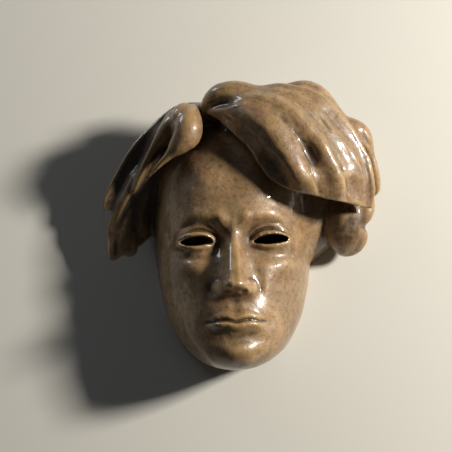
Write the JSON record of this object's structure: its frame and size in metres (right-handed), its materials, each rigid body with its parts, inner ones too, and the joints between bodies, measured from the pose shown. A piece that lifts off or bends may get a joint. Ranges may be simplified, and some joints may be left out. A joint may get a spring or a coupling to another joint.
{
  "type": "ceramic face mask",
  "caption": "Life-size hollow glazed stoneware mask of a calm face with open eye slits and swept, deeply modelled hair.",
  "frame": {"origin": "middle of the outer box, in the plane of the back rim", "axes": "+Z out of the face, away from the back rim; +Y from the chin to the crown; +X to the viewer's right when looking at the face"},
  "size_m": [0.2444, 0.2484, 0.1097],
  "materials": {
    "glaze": "gloss"
  },
  "bodies": {
    "root": {"face_mask": "glaze"}
  },
  "joints": []
}
